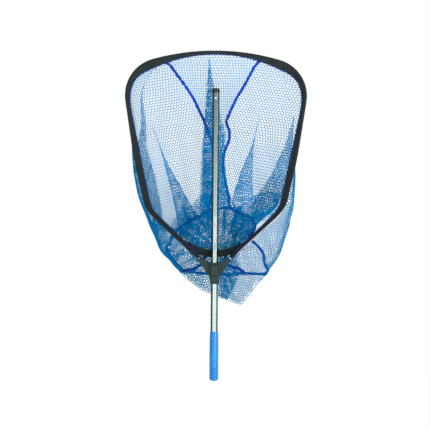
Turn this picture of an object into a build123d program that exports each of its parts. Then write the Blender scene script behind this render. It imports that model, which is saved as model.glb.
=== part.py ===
"""A landing net on a sliding handle: a hexagonal aluminium handle runs through a plastic yoke
that carries a hoop with a soft net bag, and a push button in the yoke releases a snap pin.

Frame, in millimetres: the origin is on the handle's axis at the middle of the grip. +Z runs up
the handle to the hoop, +X across the hoop, and the bag hangs behind the hoop, towards +Y.
"""

from build123d import *
import math
import os

os.makedirs("parts", exist_ok=True)

# Handle: a hexagonal tube with a flat facing forwards
TUBE_FLATS = 19.6
TUBE_CORNER = 1.2
TUBE_WALL = 1.3
TUBE_BOTTOM = -73.0
TUBE_TOP = 834.0

# End cap over the top of the tube
CAP_RADIUS = 12.3
CAP_BOTTOM = 823.0
CAP_TOP = 837.5
CAP_ROUND = 5.0

# Grip over the bottom of the tube
GRIP_RADIUS = 13.9
GRIP_NECK_RADIUS = 12.9
GRIP_BOTTOM = -76.8
GRIP_TOP = 76.6
GRIP_PLAIN_TOP = 36.0
GRIP_END_ROUND = 8.0
GROOVE_FIRST = -13.0
GROOVE_STEP = -13.0
GROOVE_COUNT = 5
GROOVE_WIDE = 1.6
GROOVE_DEEP = 0.7

# Snap pins: each a domed pin on a V-shaped leaf spring inside the tube
SLIDE_TRAVEL = 530.0
LOWER_PIN_Z = 277.0
PIN_RADIUS = 3.2
PIN_PROUD = 3.4
PIN_HOLE = 3.5
PIN_DOME = 1.6
RIVET_HEAD = 0.6
LEAF_THICK = 0.7
LEAF_WIDE = 8.0
LEAF_GAP = 0.1
LEAF_PAD = 9.0
LEAF_LONG = 38.0
RIVET_RADIUS = 2.0

# Label on the front flat of the tube
LABEL_BOTTOM = 302.0
LABEL_TOP = 436.0
LABEL_WIDE = 9.0
LABEL_THICK = 0.12

# Yoke: a sleeve on the handle with a tapered skirt below and two arms for the hoop's ends
BORE_FLATS = 20.4
SLEEVE_HALF = 17.5
SLEEVE_FRONT = -18.5
SLEEVE_REAR = 15.0
SLEEVE_ROUND = 4.0
SLEEVE_BOTTOM = 250.0
SLEEVE_TOP = 292.5
SKIRT_BOTTOM = 226.0
SKIRT_HALF = 13.6
SKIRT_ROUND = 6.0
ARM_HALF_THICK = 7.0
ARM_TIP = (48.0, 305.5)
ARM_HALF_WIDE = 6.6
ARM_ELBOW = (27.0, 264.0)
ARM_ROUND = 2.0

# Push button in the sleeve's front, above the lower snap pin
BUTTON_BOTTOM = 252.6
BUTTON_TOP = 286.4
BUTTON_HALF = 10.8
BUTTON_PROUD = 0.8
BUTTON_LIP = 1.6
BUTTON_FLANGE = 1.0
BUTTON_GAP = 0.3
POCKET_FLOOR = -12.2
BOSS_GAP = 0.05
SPRING_SPOTS = ((-6.2, 260.5), (6.2, 260.5))
SPRING_RADIUS = 2.1
SPRING_WIRE = 0.5
SPRING_TURNS = 3.0
SPRING_CUP = 2.0

# Screws, all driven from the rear
SLEEVE_SCREWS = ((-14.6, 257.0), (14.6, 257.0), (-14.6, 286.0), (14.6, 286.0))
SCREW_RADIUS = 1.5
SLEEVE_SCREW_HEAD = 2.7
SLEEVE_SCREW_END = -8.0
ARM_SCREW_INSET = 12.0
ARM_SCREW_END = -5.5
HEAD_HIGH = 1.8
HEAD_SINK = 2.2
CROSS_WIDE = 0.8
CROSS_DEEP = 1.1

# Hoop: a round tube whose centreline is a rounded polygon, symmetric about X = 0
HOOP_RADIUS = 4.75
HOOP_WALL = 1.0
HOOP_END = (26.0, 285.2)
HOOP_CORNERS = (((214.0, 459.0), 100.0), ((250.5, 620.0), 900.0), ((293.0, 895.7), 111.5))
HOOP_APEX = ((0.0, 976.9), 720.0)

# Hem: a fabric sleeve round the hoop with a flap inside it, and a band behind the handle
HEM_START = (58.0, 314.8)
HEM_INSIDE = 4.85
HEM_OUTSIDE = 5.55
FLAP_THICK = 1.6
FLAP_GAP = 0.2
FLAP_START = (66.0, 336.7)
FLAP_CORNERS = (((197.0, 460.0), 90.0), ((264.0, 775.0), 150.0), ((266.0, 866.0), 79.0))
FLAP_APEX = ((0.0, 979.0), 436.0)
BRIDGE_NEAR = 12.9
BRIDGE_THICK = 1.6
BRIDGE_HALF_FLAT = 26.0
BRIDGE_HALF = 88.0
BRIDGE_LOW = 309.0
BRIDGE_WIDE = 22.0
BRIDGE_RISE = 28.0
BRIDGE_BEND = 40.0
FLAP_END_RISE = 8.0

# Bag: a slack shell that hangs from the hem. Each ring is an outline in X and Z at one depth,
# clockwise from the top as seen from the front.
BAG_WALL = 2.0
MOUTH_DEPTH = 6.2
THROAT_DEPTH = 17.5
BELLY_DEPTH = 62.0
FLOOR_DEPTH = 122.0
MOUTH_SAG = (0.0, 318.0)
BELLY = (
    (0.0, 812.0),
    (150.0, 790.0),
    (243.0, 690.0),
    (249.0, 585.0),
    (240.0, 460.0),
    (205.0, 320.0),
    (152.0, 235.0),
    (84.0, 163.0),
    (-10.0, 190.0),
    (-80.0, 230.0),
    (-150.0, 302.0),
    (-205.0, 400.0),
    (-250.0, 545.0),
    (-257.0, 680.0),
    (-160.0, 790.0),
)
FLOOR = (
    (-15.0, 462.0),
    (60.0, 466.0),
    (122.0, 380.0),
    (168.0, 275.0),
    (150.0, 256.0),
    (30.0, 252.0),
    (-88.0, 258.0),
    (-118.0, 282.0),
    (-112.0, 370.0),
    (-84.0, 446.0),
)
RING_POINTS = 28
BAG_HUB = (20.0, 380.0)
SEAM_ENDS = {
    "upper_left": (-150.0, 945.0),
    "upper_right": (150.0, 945.0),
    "lower_right": (162.0, 260.0),
    "lower_left": (-110.0, 268.0),
}
TAPE_WIDE = 7.0
TAPE_THICK = 1.2
LAYER_OVERRUN = 2.0
PIPING_PROUD = 2.6
PIPING_THICK = 4.0
HANDLE_CLEAR_HALF = 20.0
HANDLE_CLEAR_DEPTH = 15.6
HANDLE_CLEAR_TOP = 350.0

# Further than any part reaches, for the cutting tools
FAR = 1600.0


def block(x0, x1, y0, y1, z0, z1):
    """A box between two corners."""
    middle = Pos((x0 + x1) / 2, (y0 + y1) / 2, (z0 + z1) / 2)
    return middle * Box(x1 - x0, y1 - y0, z1 - z0)


def rod(x, z, radius, y0, y1):
    """A round rod along Y from depth y0 to depth y1."""
    return Pos(x, (y0 + y1) / 2, z) * Rot(X=90) * Cylinder(radius, abs(y1 - y0))


def hexagon(across_flats, corner):
    """A hexagon with rounded corners, two of them on the X axis."""
    sharp = RegularPolygon(across_flats / 2, 6, major_radius=False)
    return fillet(sharp.vertices(), corner)


def column(sketch, z0, z1):
    """A sketch in X and Y, extruded from height z0 to height z1."""
    return extrude(Pos(0, 0, z0) * sketch, amount=z1 - z0)


def upright(outline, y0, y1):
    """A closed outline drawn in X and Z, extruded from depth y0 to depth y1."""
    return extrude(make_face(outline), amount=y1 - y0, dir=(0, 1, 0)).moved(Pos(0, y0, 0))


def front_points(points):
    """Points given as (x, z), placed in the plane Y = 0."""
    return [(x, 0, z) for x, z in points]


def handle_tube():
    """The hexagonal tube, with a hole in its front flat for each snap pin."""
    tube = column(hexagon(TUBE_FLATS, TUBE_CORNER), TUBE_BOTTOM, TUBE_TOP)
    tube -= column(hexagon(TUBE_FLATS - 2 * TUBE_WALL, TUBE_CORNER / 2), TUBE_BOTTOM, TUBE_TOP)
    for z in (LOWER_PIN_Z, LOWER_PIN_Z + SLIDE_TRAVEL):
        tube -= rod(0, z, PIN_HOLE, -TUBE_FLATS, 0)
    return tube


def end_cap():
    """A round-topped plastic cap over the tube's upper end."""
    cap = Pos(0, 0, (CAP_BOTTOM + CAP_TOP) / 2) * Cylinder(CAP_RADIUS, CAP_TOP - CAP_BOTTOM)
    cap = fillet(cap.edges().sort_by(Axis.Z)[-1], CAP_ROUND)
    return cap - column(hexagon(TUBE_FLATS, TUBE_CORNER), CAP_BOTTOM, TUBE_TOP)


def grip():
    """A closed-end vinyl grip: a slim neck, a plain stretch and a grooved end."""
    shape = Pos(0, 0, (GRIP_BOTTOM + GRIP_PLAIN_TOP) / 2) * Cylinder(
        GRIP_RADIUS, GRIP_PLAIN_TOP - GRIP_BOTTOM
    )
    shape = fillet(shape.edges().sort_by(Axis.Z)[0], GRIP_END_ROUND)
    neck_high = GRIP_TOP - GRIP_PLAIN_TOP
    neck = Pos(0, 0, GRIP_PLAIN_TOP + neck_high / 2) * Cone(GRIP_RADIUS, GRIP_NECK_RADIUS, neck_high)
    shape += fillet(neck.edges().sort_by(Axis.Z)[-1], 1.0)
    ring_radius = GRIP_RADIUS + GROOVE_WIDE - GROOVE_DEEP
    for n in range(GROOVE_COUNT):
        shape -= Pos(0, 0, GROOVE_FIRST + n * GROOVE_STEP) * Torus(ring_radius, GROOVE_WIDE)
    return shape - column(hexagon(TUBE_FLATS, TUBE_CORNER), TUBE_BOTTOM, GRIP_TOP)


def snap_leaf(z):
    """A strip bent into a V that presses a snap pin out through the tube's front flat."""
    pad = TUBE_FLATS / 2 - TUBE_WALL - LEAF_GAP - LEAF_THICK / 2
    spine = FilletPolyline(
        (0, -pad, z + LEAF_PAD),
        (0, -pad, z - LEAF_PAD),
        (0, 0, z - LEAF_LONG),
        (0, pad, z - LEAF_PAD),
        (0, pad, z + LEAF_PAD),
        radius=[6.0, 1.5, 6.0],
    )
    section = Plane((0, -pad, z + LEAF_PAD), x_dir=(1, 0, 0), z_dir=(0, 0, -1))
    leaf = sweep(section * Rectangle(LEAF_WIDE, LEAF_THICK), path=spine)
    return leaf - rod(0, z, RIVET_RADIUS + 0.1, -TUBE_FLATS / 2, 0)


def snap_pin(z):
    """A domed pin with a rivet tail through its leaf."""
    face = -TUBE_FLATS / 2
    leaf_front = face + TUBE_WALL + LEAF_GAP
    leaf_back = leaf_front + LEAF_THICK
    pin = rod(0, z, PIN_RADIUS, face - PIN_PROUD, leaf_front)
    pin = fillet(pin.edges().sort_by(Axis.Y)[0], PIN_DOME)
    pin += rod(0, z, RIVET_RADIUS, leaf_front, leaf_back + RIVET_HEAD)
    return pin + rod(0, z, 1.5 * RIVET_RADIUS, leaf_back, leaf_back + RIVET_HEAD)


def label():
    """A thin sticker on the tube's front flat."""
    face = -TUBE_FLATS / 2
    sheet = Pos(0, face - LABEL_THICK / 2, (LABEL_BOTTOM + LABEL_TOP) / 2) * Box(
        LABEL_WIDE, LABEL_THICK, LABEL_TOP - LABEL_BOTTOM
    )
    return fillet(sheet.edges().filter_by(Axis.Y), 1.5)


def hoop_path(start, corners, apex):
    """A line from the left end over the hoop's top to the right end."""
    right = [start] + [point for point, _ in corners]
    left = [(-x, z) for x, z in right]
    bends = [radius for _, radius in corners]
    points = left + [apex[0]] + right[::-1]
    return FilletPolyline(*front_points(points), radius=bends + [apex[1]] + bends[::-1])


def swept_round(path, radius):
    """A round bar along a path."""
    return sweep(Plane(path @ 0, z_dir=path % 0) * Circle(radius), path=path)


def arm_screw_spots():
    """Where the arm screws cross the hoop's ends, left and right."""
    (x0, z0), (x1, z1) = HOOP_END, HOOP_CORNERS[0][0]
    share = ARM_SCREW_INSET / math.hypot(x1 - x0, z1 - z0)
    x, z = x0 + share * (x1 - x0), z0 + share * (z1 - z0)
    return (-x, z), (x, z)


def hoop_bar(radius):
    """The hoop's full length as a solid round bar."""
    return swept_round(hoop_path(HOOP_END, HOOP_CORNERS, HOOP_APEX), radius)


def hoop_tube():
    """The round aluminium hoop, cross-drilled near its ends."""
    tube = hoop_bar(HOOP_RADIUS) - hoop_bar(HOOP_RADIUS - HOOP_WALL)
    for x, z in arm_screw_spots():
        tube -= rod(x, z, SCREW_RADIUS + 0.1, -HOOP_RADIUS * 2, HOOP_RADIUS * 2)
    return tube


def sleeve_section(half_wide, front, rear, corner):
    """The yoke sleeve's outline in X and Y."""
    rounded = RectangleRounded(2 * half_wide, rear - front, corner)
    return Pos(0, (front + rear) / 2) * rounded


def arm_outline(side):
    """One arm seen from the front; side is 1 for the right arm and -1 for the left."""
    (x0, z0), (x1, z1) = HOOP_END, HOOP_CORNERS[0][0]
    length = math.hypot(x1 - x0, z1 - z0)
    across = (-(z1 - z0) / length * ARM_HALF_WIDE, (x1 - x0) / length * ARM_HALF_WIDE)
    inner = SLEEVE_HALF - SLEEVE_ROUND
    points = [
        (inner, SLEEVE_TOP),
        (SLEEVE_HALF, SLEEVE_TOP),
        (ARM_TIP[0] + across[0], ARM_TIP[1] + across[1]),
        (ARM_TIP[0] - across[0], ARM_TIP[1] - across[1]),
        ARM_ELBOW,
        (SLEEVE_HALF, SLEEVE_BOTTOM),
        (inner, SLEEVE_BOTTOM),
    ]
    return Polyline(*[(side * x, 0, z) for x, z in points], close=True)


def yoke_blank():
    """The yoke's outer shape before its bore, pocket and sockets are cut."""
    section = sleeve_section(SLEEVE_HALF, SLEEVE_FRONT, SLEEVE_REAR, SLEEVE_ROUND)
    sleeve = column(section, SLEEVE_BOTTOM, SLEEVE_TOP)
    sleeve = fillet(sleeve.faces().sort_by(Axis.Z)[-1].edges(), 1.2)
    foot = sleeve_section(SKIRT_HALF, -SKIRT_HALF, SKIRT_HALF, SKIRT_ROUND)
    skirt = loft([Pos(0, 0, SKIRT_BOTTOM) * foot.face(), Pos(0, 0, SLEEVE_BOTTOM) * section.face()])
    blank = sleeve + skirt
    for side in (-1, 1):
        arm = upright(arm_outline(side), -ARM_HALF_THICK, ARM_HALF_THICK)
        outer = [
            edge
            for edge in arm.edges()
            if abs(edge.center().Y) > ARM_HALF_THICK / 2 and side * edge.center().X > SLEEVE_HALF
        ]
        blank += fillet(outer, ARM_ROUND)
    return blank


def button_pocket():
    """The space that the push button fills and travels in."""
    g = BUTTON_GAP
    half, low, high = BUTTON_HALF + g, BUTTON_BOTTOM - g, BUTTON_TOP + g
    window = block(-half, half, SLEEVE_FRONT - 5, POCKET_FLOOR, low, high)
    under_lip = SLEEVE_FRONT + BUTTON_LIP
    wide = half + BUTTON_FLANGE
    return window + block(-wide, wide, under_lip, POCKET_FLOOR, low, high)


def screw_space(x, z, head_radius, rear, end):
    """The hole and head recess for one screw."""
    hole = rod(x, z, SCREW_RADIUS, end, rear + 1)
    return hole + rod(x, z, head_radius + 0.2, rear - HEAD_SINK, rear + 1)


def yoke():
    """The whole yoke, hollowed for the handle, the button, the hoop and the screws."""
    body = yoke_blank()
    body -= column(hexagon(BORE_FLATS, TUBE_CORNER), SKIRT_BOTTOM - 1, SLEEVE_TOP + 1)
    body -= button_pocket()
    body -= rod(0, LOWER_PIN_Z, PIN_HOLE, POCKET_FLOOR - 1, 0)
    body -= hoop_bar(HOOP_RADIUS)
    for x, z in SLEEVE_SCREWS:
        body -= screw_space(x, z, SLEEVE_SCREW_HEAD, SLEEVE_REAR, SLEEVE_SCREW_END)
    for x, z in arm_screw_spots():
        body -= screw_space(x, z, SLEEVE_SCREW_HEAD, ARM_HALF_THICK, ARM_SCREW_END)
    return body


def half_space(front):
    """Everything in front of the yoke's parting plane, or everything behind it."""
    y0, y1 = (-FAR, 0) if front else (0, FAR)
    return block(-FAR, FAR, y0, y1, 0, FAR)


def screw(x, z, rear, end):
    """A cross-head screw driven forwards from the rear."""
    seat = rear - HEAD_SINK
    head = fillet(
        rod(x, z, SLEEVE_SCREW_HEAD, seat, seat + HEAD_HIGH).edges().sort_by(Axis.Y)[-1], 0.8
    )
    shank = rod(x, z, SCREW_RADIUS, end, seat)
    for angle in (45, -45):
        slot = Box(2 * SCREW_RADIUS, CROSS_DEEP * 2, CROSS_WIDE)
        head -= Pos(x, seat + HEAD_HIGH, z) * Rot(Y=angle) * slot
    return head + chamfer(shank.edges().sort_by(Axis.Y)[0], 0.5)


def lock_button():
    """The push button: a flanged plate with a boss over the snap pin and two spring cups."""
    front = SLEEVE_FRONT - BUTTON_PROUD
    flange_front = SLEEVE_FRONT + BUTTON_LIP + 0.1
    back = flange_front + BUTTON_FLANGE
    plate = block(-BUTTON_HALF, BUTTON_HALF, front, back, BUTTON_BOTTOM, BUTTON_TOP)
    plate = fillet(plate.edges().filter_by(Axis.Y), 1.0)
    plate = fillet(plate.faces().sort_by(Axis.Y)[0].edges(), 0.7)
    wide = BUTTON_HALF + BUTTON_FLANGE
    plate += block(-wide, wide, flange_front, back, BUTTON_BOTTOM, BUTTON_TOP)
    pin_tip = -TUBE_FLATS / 2 - PIN_PROUD
    plate += rod(0, LOWER_PIN_Z, PIN_RADIUS - 0.2, back, pin_tip - BOSS_GAP)
    for x, z in SPRING_SPOTS:
        plate -= rod(x, z, SPRING_RADIUS + SPRING_WIRE, back - SPRING_CUP, back)
    return plate


def button_springs():
    """Two small coil springs between the yoke and the push button."""
    back = SLEEVE_FRONT + BUTTON_LIP + 0.1 + BUTTON_FLANGE
    low, high = back - SPRING_CUP + SPRING_WIRE, POCKET_FLOOR - SPRING_WIRE
    springs = []
    for x, z in SPRING_SPOTS:
        coil = Helix((high - low) / SPRING_TURNS, high - low, SPRING_RADIUS)
        section = Plane(coil @ 0, z_dir=coil % 0) * Circle(SPRING_WIRE / 2)
        spring = sweep(section, path=coil, is_frenet=True)
        springs.append(Pos(x, high, z) * Rot(X=90) * spring)
    return Compound(children=springs)


def hem_path():
    """The hoop's centreline where the hem wraps it."""
    return hoop_path(HEM_START, HOOP_CORNERS, HOOP_APEX)


def net_hem():
    """The hem's sleeve round the hoop."""
    path = hem_path()
    ring = Circle(HEM_OUTSIDE) - Circle(HEM_INSIDE)
    return sweep(Plane(path @ 0, z_dir=path % 0) * ring, path=path)


def closed_by_line(path):
    """A path closed by a straight line between its ends."""
    return Wire(path.edges() + [Edge.make_line(path @ 1, path @ 0)])


def hem_flap():
    """The hem's flap inside the hoop, which the netting is sewn to."""
    outer = closed_by_line(hem_path()).offset_2d(-HEM_OUTSIDE - FLAP_GAP)
    inner = closed_by_line(hoop_path(FLAP_START, FLAP_CORNERS, FLAP_APEX))
    flap = upright(outer, -FLAP_THICK / 2, FLAP_THICK / 2)
    flap -= upright(inner, -FLAP_THICK, FLAP_THICK)
    x, z = FLAP_START
    return flap - block(-x, x, -FLAP_THICK, FLAP_THICK, 0, z + FLAP_END_RISE)


def hem_bridge():
    """The hem's band, which sags from the hoop behind the handle."""
    depth = BRIDGE_NEAR + BRIDGE_THICK / 2
    end_depth = HEM_OUTSIDE + BRIDGE_THICK
    plan = FilletPolyline(
        (-BRIDGE_HALF, end_depth, BRIDGE_LOW),
        (-BRIDGE_HALF_FLAT, depth, BRIDGE_LOW),
        (BRIDGE_HALF_FLAT, depth, BRIDGE_LOW),
        (BRIDGE_HALF, end_depth, BRIDGE_LOW),
        radius=BRIDGE_BEND,
    )
    start = Plane(plan @ 0, x_dir=(0, 0, 1), z_dir=plan % 0)
    strip = sweep(start * Rectangle(6 * BRIDGE_WIDE, BRIDGE_THICK), path=plan)
    ends = [(x, 0, BRIDGE_LOW + BRIDGE_RISE) for x in (-BRIDGE_HALF, BRIDGE_HALF)]
    low = ThreePointArc(ends[0], (0, 0, BRIDGE_LOW), ends[1])
    high = low.moved(Pos(0, 0, BRIDGE_WIDE))
    sides = [Edge.make_line(low @ 0, high @ 0), Edge.make_line(low @ 1, high @ 1)]
    return strip & upright(Wire([low.edge(), high.edge()] + sides), 0, 2 * depth)


def evenly(outline, start):
    """Points at equal distances along a closed outline, from a start distance."""
    step = outline.length / RING_POINTS
    reach = [(start + n * step) % outline.length for n in range(RING_POINTS)]
    return [outline.position_at(s, position_mode=PositionMode.LENGTH) for s in reach]


def mouth_ring():
    """The bag's edge behind the hem: the hoop's line, closed by a sag below."""
    path = hem_path()
    sag = ThreePointArc(path @ 1, (MOUTH_SAG[0], 0, MOUTH_SAG[1]), path @ 0)
    return evenly(Wire(path.edges() + [sag.edge()]), path.length / 2)


def drawn_ring(points):
    """A bag ring through drawn points."""
    return evenly(Wire([Spline(*front_points(points), periodic=True).edge()]), 0)


def bag_rings():
    """The rings of the bag's outside, from its mouth to its floor."""
    rings = [
        (mouth_ring(), MOUTH_DEPTH),
        (mouth_ring(), THROAT_DEPTH),
        (drawn_ring(BELLY), BELLY_DEPTH),
        (drawn_ring(FLOOR), FLOOR_DEPTH),
    ]
    return [[p + Vector(0, depth, 0) for p in ring] for ring, depth in rings]


def pushed(ring, distance, before=None, after=None):
    """A ring moved outwards: square to the surface between two rings, or in its own plane."""
    moved = []
    for n, point in enumerate(ring):
        along = ring[(n + 1) % len(ring)] - ring[n - 1]
        across = after[n] - before[n] if before else Vector(0, 1, 0)
        moved.append(point + along.cross(across).normalized() * distance)
    return moved


def lofted(rings):
    """A solid through closed rings of points."""
    wires = [Wire([Spline(*ring, periodic=True).edge()]) for ring in rings]
    return Solid.make_loft(wires, ruled=True)


def bag_layer(distance):
    """The bag's envelope moved square to itself, and run on past its mouth and floor."""
    mouth, throat, belly, floor = bag_rings()
    in_front = [p - Vector(0, LAYER_OVERRUN, 0) for p in pushed(mouth, distance)]
    behind = [p + Vector(0, LAYER_OVERRUN, 0) for p in pushed(floor, distance)]
    rings = [
        in_front,
        pushed(throat, distance, mouth, belly),
        pushed(belly, distance, throat, floor),
        pushed(floor, distance, belly, floor),
        behind,
    ]
    return lofted(rings)


def handle_room():
    """The space round the handle, the yoke and the grip that the bag keeps clear of."""
    half = HANDLE_CLEAR_HALF
    return block(-half, half, -FAR, HANDLE_CLEAR_DEPTH, 0, HANDLE_CLEAR_TOP)


def seam_angle(name):
    """The direction of a seam from the bag's hub, in degrees above +X."""
    x, z = SEAM_ENDS[name]
    return math.degrees(math.atan2(z - BAG_HUB[1], x - BAG_HUB[0]))


def sector(start, end):
    """A wedge about the bag's hub between two angles, through the bag's whole depth."""
    x, z = BAG_HUB
    turn = (end - start) % 360
    steps = math.ceil(turn / 45)
    points = [(x, 0, z)]
    for n in range(steps + 1):
        angle = math.radians(start + turn * n / steps)
        points.append((x + FAR * math.cos(angle), 0, z + FAR * math.sin(angle)))
    return upright(Polyline(*points, close=True), 0, 2 * FLOOR_DEPTH)


def seam_slab(angle):
    """A thin slab that runs out from the bag's hub along one seam."""
    slab = Pos(FAR / 2, FLOOR_DEPTH / 2, 0) * Box(FAR, 2 * FLOOR_DEPTH, TAPE_WIDE)
    return Pos(BAG_HUB[0], 0, BAG_HUB[1]) * Rot(Y=-angle) * slab


def floor_outline(grow):
    """The floor panel's outline, grown outwards."""
    points = [Vector(x, 0, z) for x, z in FLOOR]
    middle = sum(points, Vector()) / len(points)
    moved = [p + (p - middle).normalized() * grow for p in points]
    return Spline(*moved, periodic=True)


def bag():
    """The bag's panels, seam tapes, floor panel and piping, by node name."""
    outside = lofted(bag_rings())
    wall = outside - bag_layer(-BAG_WALL) - handle_room()
    depths = block(-FAR, FAR, MOUTH_DEPTH, FLOOR_DEPTH, 0, FAR)
    tape_layer = (bag_layer(TAPE_THICK) & depths) - outside - handle_room()
    panels = {
        "bag_end_panel": ("upper_right", "upper_left"),
        "bag_left_panel": ("upper_left", "lower_left"),
        "bag_yoke_panel": ("lower_left", "lower_right"),
        "bag_right_panel": ("lower_right", "upper_right"),
    }
    nodes = {}
    for name, (start, end) in panels.items():
        nodes[name] = wall & sector(seam_angle(start), seam_angle(end))
    for name in SEAM_ENDS:
        nodes["seam_tape_" + name] = tape_layer & seam_slab(seam_angle(name))
    inner, outer = floor_outline(0.0), floor_outline(PIPING_PROUD)
    nodes["bag_bottom_panel"] = upright(inner, FLOOR_DEPTH, FLOOR_DEPTH + BAG_WALL)
    piping = upright(outer, FLOOR_DEPTH, FLOOR_DEPTH + PIPING_THICK)
    nodes["bottom_piping"] = piping - upright(inner, 0, 2 * FLOOR_DEPTH)
    return nodes


def main():
    whole_yoke = yoke()
    upper_pin = LOWER_PIN_Z + SLIDE_TRAVEL
    nodes = {
        "handle_tube": handle_tube(),
        "end_cap": end_cap(),
        "grip": grip(),
        "handle_label": label(),
        "lower_snap_leaf": snap_leaf(LOWER_PIN_Z),
        "lower_snap_pin": snap_pin(LOWER_PIN_Z),
        "upper_snap_leaf": snap_leaf(upper_pin),
        "upper_snap_pin": snap_pin(upper_pin),
        "yoke_front": whole_yoke & half_space(True),
        "yoke_rear": whole_yoke & half_space(False),
        "yoke_screws": Compound(
            children=[screw(x, z, SLEEVE_REAR, SLEEVE_SCREW_END) for x, z in SLEEVE_SCREWS]
        ),
        "arm_screws": Compound(
            children=[screw(x, z, ARM_HALF_THICK, ARM_SCREW_END) for x, z in arm_screw_spots()]
        ),
        "lock_button": lock_button(),
        "button_springs": button_springs(),
        "hoop_tube": hoop_tube(),
        "net_hem": net_hem(),
        "hem_flap": hem_flap(),
        "hem_bridge": hem_bridge(),
    }
    nodes.update(bag())
    for name, shape in nodes.items():
        export_step(shape, f"parts/{name}.step")


main()
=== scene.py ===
"""The looks of the landing net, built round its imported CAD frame.

The handle, cap, grip, yoke, button, screws and hoop tube are the CAD's own shapes with better
materials. The hem, the netting, its seam tapes and its piping are built here, in millimetres, and
scaled to metres as each mesh is made. The bag is a stack of level sections, with long folds laid
into its back, and the netting's cords are laid over them. Spare layers of netting in front of the
back stand for its small folds.
"""

import math

import bpy
import numpy as np
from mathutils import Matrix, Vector
from mathutils.bvhtree import BVHTree


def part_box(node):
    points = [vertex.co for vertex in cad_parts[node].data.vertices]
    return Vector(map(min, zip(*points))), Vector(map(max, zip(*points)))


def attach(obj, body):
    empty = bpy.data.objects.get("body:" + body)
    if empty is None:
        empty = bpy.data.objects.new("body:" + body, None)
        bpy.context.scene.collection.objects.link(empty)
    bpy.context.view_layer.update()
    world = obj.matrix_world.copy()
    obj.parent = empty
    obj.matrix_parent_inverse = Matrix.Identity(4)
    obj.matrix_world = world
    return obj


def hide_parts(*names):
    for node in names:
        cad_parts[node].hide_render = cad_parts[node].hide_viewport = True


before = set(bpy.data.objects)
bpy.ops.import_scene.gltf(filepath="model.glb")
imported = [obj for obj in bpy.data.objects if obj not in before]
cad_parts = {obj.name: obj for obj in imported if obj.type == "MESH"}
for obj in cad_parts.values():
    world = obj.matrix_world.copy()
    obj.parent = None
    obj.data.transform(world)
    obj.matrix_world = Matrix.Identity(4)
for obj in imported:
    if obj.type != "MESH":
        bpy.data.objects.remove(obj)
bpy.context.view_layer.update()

MM = 0.001

# Camera, looking along +Y at the hoop
CAMERA_AWAY = 5.0
CAMERA_FIELD = 1.344
CAMERA_HEIGHT = 0.4413
CAMERA_ROLL = math.radians(-0.45)
SENSOR = 36.0

# Soft lights: name, place, target and size in metres, and power
LIGHTS = (
    ("key", (-2.6, -3.6, 2.6), (0, 0, 0.5), (1.8, 1.8), 45),
    ("fill", (3.0, -3.4, 0.7), (0, 0, 0.4), (0.9, 2.4), 120),
)

# The studio's light by direction: behind the camera it changes with the height, over NEAR_HORIZON,
# and towards the back it changes to FAR_LIGHT. SIDE_LIGHTS are its shares from left to right
NEAR_HORIZON = (-0.20, 0.06)
NEAR_FLOOR_LIGHT = 9.5
NEAR_SKY_LIGHT = 0.05
NEAR_TO_FAR = (-0.45, 0.35)
FAR_LIGHT = 1.05
SIDE_LIGHTS = ((0.08, 0.12), (0.35, 1.0), (0.65, 1.0), (0.92, 0.42))

# A square's corners, in turn, and the faces between four corners and another four
SQUARE = ((-1, -1), (1, -1), (1, 1), (-1, 1))
SLEEVE_FACES = np.array([(n, (n + 1) % 4, (n + 1) % 4 + 4, n + 4) for n in range(4)])

# The floor, in metres
FLOOR_REACH = 3.0
FLOOR_HEIGHT = -0.32
FLOOR_BASE = 0.04
FLOOR_GLOW = 0.98

# Materials: broad patches to the metre, and the fine grain's share in the colour
BROAD_SCALE = 14.0
GRAIN_SHARE = 0.3

# Bag, in millimetres. Its sides keep their width above TOP_WIDE, and its shoulders, where the sides
# turn into the back, narrow beside the right fold, below FOLD_APEX. RIM_GAP is the least distance
# from the rim to the side
LEVEL_STEP = 3.0
BAG_HIGH = 955.0
BAG_LOW = 158.0
TOP_WIDE = 905.0
SHOULDER = 45.0
SHOULDER_LEAST = 10.0
FOLD_APEX = 775.0
RIM_GAP = 2.5
DEPTH_BLUR = 6.0

# (height, depth) and (height, width) pairs down the bag's length
BACK_DEPTH = ((966, 5), (953, 6), (938, 15.5), (880, 26), (800, 42), (700, 60), (600, 76), (500, 93),
              (440, 103), (350, 112), (255, 113), (200, 100), (158, 78))
FRONT_DEPTH = ((345, 3.5), (335, 17), (300, 18), (250, 26), (200, 46), (158, 76))
LEFT_SIDE = ((966, 0), (720, 264), (640, 262), (580, 258), (500, 243), (400, 205), (320, 166),
             (263, 112), (230, 79), (207, 47), (188, 12), (170, -45), (158, -84))
RIGHT_SIDE = ((966, 0), (720, 262), (620, 251), (560, 254), (470, 247), (400, 233), (320, 206),
              (282, 184), (226, 138), (188, 110), (170, 92), (158, 86))

# Each long fold: (height, x) points of its two creases, from its apex down
FOLDS = (
    (((880, -232), (763, -258), (640, -248), (550, -232), (444, -200)),
     ((880, -232), (763, -243), (646, -214), (550, -186), (444, -166))),
    (((747, -209), (635, -174), (519, -141), (402, -117)),
     ((747, -209), (630, -163), (524, -104), (418, -45))),
    (((946, -22), (816, -30), (740, -36), (600, -41), (400, -45)),
     ((946, -22), (900, -14), (816, 0), (740, 5), (470, 8))),
    (((768, 141), (678, 118), (582, 81), (513, 55)),
     ((768, 141), (657, 122), (572, 118), (497, 121))),
    (((763, 252), (635, 208), (572, 177), (513, 138), (481, 118), (430, 116)),
     ((763, 252), (635, 244), (572, 238), (481, 206), (432, 160), (400, 122))),
)
CENTRE_FOLD = 2
CREASE_BLUR = 8.0

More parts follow.
